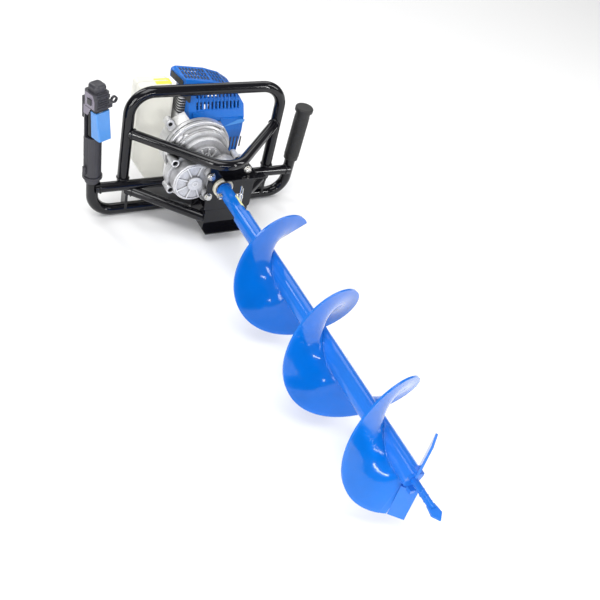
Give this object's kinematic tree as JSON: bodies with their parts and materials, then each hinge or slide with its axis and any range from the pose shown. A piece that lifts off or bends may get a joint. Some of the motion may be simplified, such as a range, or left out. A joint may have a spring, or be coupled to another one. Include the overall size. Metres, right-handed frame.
{
  "type": "ice fishing auger",
  "caption": "Engine-driven ice and earth auger: power head in a welded tube frame with throttle and plain grips, turning one large screw bit through a reduction gearbox.",
  "frame": {"origin": "on the drilling axis, at the front face of the bracket plate that the gearbox is bolted to", "axes": "+X to the right across the two grips, with the throttle at -X; -Y is the drilling direction, towards the point of the bit; +Z is the way the grips and the engine stand up"},
  "size_m": [0.5201, 1.089, 0.3262],
  "materials": {
    "frame_black": "gloss",
    "belly_dark": "satin",
    "zinc": "bright zinc",
    "casting": "as cast",
    "steel": "machined",
    "bit_blue": "gloss",
    "cover_blue": "gloss",
    "trigger_blue": "gloss",
    "tank_white": "translucent satin",
    "collar_ivory": "satin",
    "dark_plastic": "textured",
    "switch_dark": "satin",
    "black_plastic": "satin",
    "black_rubber": "matt",
    "clear_rubber": "satin",
    "muffler_grey": "heat-proof matt"
  },
  "bodies": {
    "frame": {"air_filter_cover": "black_plastic", "belly_plate": "belly_dark", "bracket_bolts": "zinc", "bracket_channel": "frame_black", "bracket_plate": "frame_black", "carburettor": "casting", "clutch_housing": "casting", "crankcase": "casting", "cylinder": "casting", "engine_cover": "cover_blue", "frame_struts": "frame_black", "fuel_tank": "tank_white", "gearbox_bearings": "steel", "gearbox_bolts": "zinc", "gearbox_cover": "casting", "gearbox_housing": "casting", "grip_clamp_knob": "dark_plastic", "guard_loop": "frame_black", "handle_crossbar": "frame_black", "handle_tube": "frame_black", "ignition_coil": "dark_plastic", "lower_brace": "frame_black", "muffler": "muffler_grey", "output_collar": "collar_ivory", "plug_cap": "black_plastic", "rubber_grip": "black_rubber", "spark_plug": "steel", "starter_housing": "black_plastic", "throttle_grip": "dark_plastic", "throttle_housing": "dark_plastic", "upper_brace": "frame_black"},
    "bit": {"output_shaft": "steel", "output_gear": "steel", "auger_tube": "bit_blue", "auger_flight": "bit_blue", "cutter_blades": "bit_blue", "pilot_point": "bit_blue", "coupling_pin": "zinc", "coupling_clip": "zinc"},
    "idler": {"idler_gear": "steel", "idler_pinion": "steel"},
    "drum": {"clutch_drum": "steel", "drum_pinion": "steel"},
    "crank": {"crankshaft": "steel", "flywheel": "casting"},
    "shoe_upper": {"clutch_shoe_upper": "steel"},
    "shoe_lower": {"clutch_shoe_lower": "steel"},
    "piston_set": {"piston": "casting", "connecting_rod": "steel", "rod_pins": "steel"},
    "recoil_pulley": {"starter_pulley": "black_plastic"},
    "pull_handle": {"starter_handle": "black_plastic"},
    "trigger": {"throttle_trigger": "trigger_blue"},
    "lockout": {"lock_lever": "dark_plastic"},
    "stop_switch": {"kill_switch": "switch_dark"},
    "choke": {"choke_lever": "steel"},
    "primer": {"primer_bulb": "clear_rubber"},
    "filler_cap": {"fuel_cap": "black_plastic"}
  },
  "joints": [
    {"name": "bit_spin", "type": "hinge", "parent": "frame", "child": "bit", "pos_m": [0, 0, 0], "axis": [0, 1, 0], "continuous": true},
    {"name": "idler_spin", "type": "hinge", "parent": "frame", "child": "idler", "pos_m": [-0.05756, 0.04, 0.00464], "axis": [0, 1, 0], "continuous": true},
    {"name": "drum_spin", "type": "hinge", "parent": "frame", "child": "drum", "pos_m": [-0.03, 0.07, 0.041], "axis": [0, 1, 0], "continuous": true},
    {"name": "crank_spin", "type": "hinge", "parent": "frame", "child": "crank", "pos_m": [-0.03, 0.12, 0.041], "axis": [0, 1, 0], "continuous": true},
    {"name": "shoe_upper_slide", "type": "slide", "parent": "crank", "child": "shoe_upper", "axis": [0, 0, 1], "range_m": [0, 0.0008], "stiffness_N_per_m": 4000, "springref_m": -0.001},
    {"name": "shoe_lower_slide", "type": "slide", "parent": "crank", "child": "shoe_lower", "axis": [0, 0, -1], "range_m": [0, 0.0008], "stiffness_N_per_m": 4000, "springref_m": -0.001},
    {"name": "piston_slide", "type": "slide", "parent": "frame", "child": "piston_set", "axis": [0, 0, 1], "range_m": [0, 0.034]},
    {"name": "starter_spin", "type": "hinge", "parent": "frame", "child": "recoil_pulley", "pos_m": [-0.03, 0.222, 0.041], "axis": [0, -1, 0], "range_deg": [0, 720], "stiffness_Nm_per_rad": 0.02, "springref_deg": -171.89},
    {"name": "starter_pull", "type": "slide", "parent": "frame", "child": "pull_handle", "axis": [1, 0, 0], "range_m": [0, 0.352]},
    {"name": "trigger_press", "type": "hinge", "parent": "frame", "child": "trigger", "pos_m": [-0.2419, 0.10702, 0.13125], "axis": [0.926, 0.375, 0.0444], "range_deg": [0, 9], "stiffness_Nm_per_rad": 1.5, "springref_deg": -5.73},
    {"name": "lock_press", "type": "hinge", "parent": "frame", "child": "lockout", "pos_m": [-0.25694, 0.14271, 0.14356], "axis": [-0.926, -0.375, -0.0444], "range_deg": [0, 4], "stiffness_Nm_per_rad": 0.8, "springref_deg": -5.73},
    {"name": "stop_switch_slide", "type": "slide", "parent": "frame", "child": "stop_switch", "axis": [-0.0479, 0, 0.9988], "range_m": [-0.003, 0.003]},
    {"name": "choke_turn", "type": "hinge", "parent": "frame", "child": "choke", "pos_m": [-0.0488, 0.158, -0.014], "axis": [-1, 0, 0], "range_deg": [0, 60]},
    {"name": "primer_press", "type": "slide", "parent": "frame", "child": "primer", "axis": [1, 0, 0], "range_m": [0, 0.003], "stiffness_N_per_m": 900, "springref_m": -0.001},
    {"name": "cap_turn", "type": "hinge", "parent": "frame", "child": "filler_cap", "pos_m": [-0.112, 0.208, 0.096], "axis": [0, 1, 0], "range_deg": [0, 90]}
  ],
  "couplings": [
    {"joint": "idler_spin", "follows": "bit_spin", "ratio": -4.5},
    {"joint": "drum_spin", "follows": "bit_spin", "ratio": 18.964},
    {"joint": "starter_pull", "follows": "starter_spin", "m_per_rad": 0.028}
  ]
}
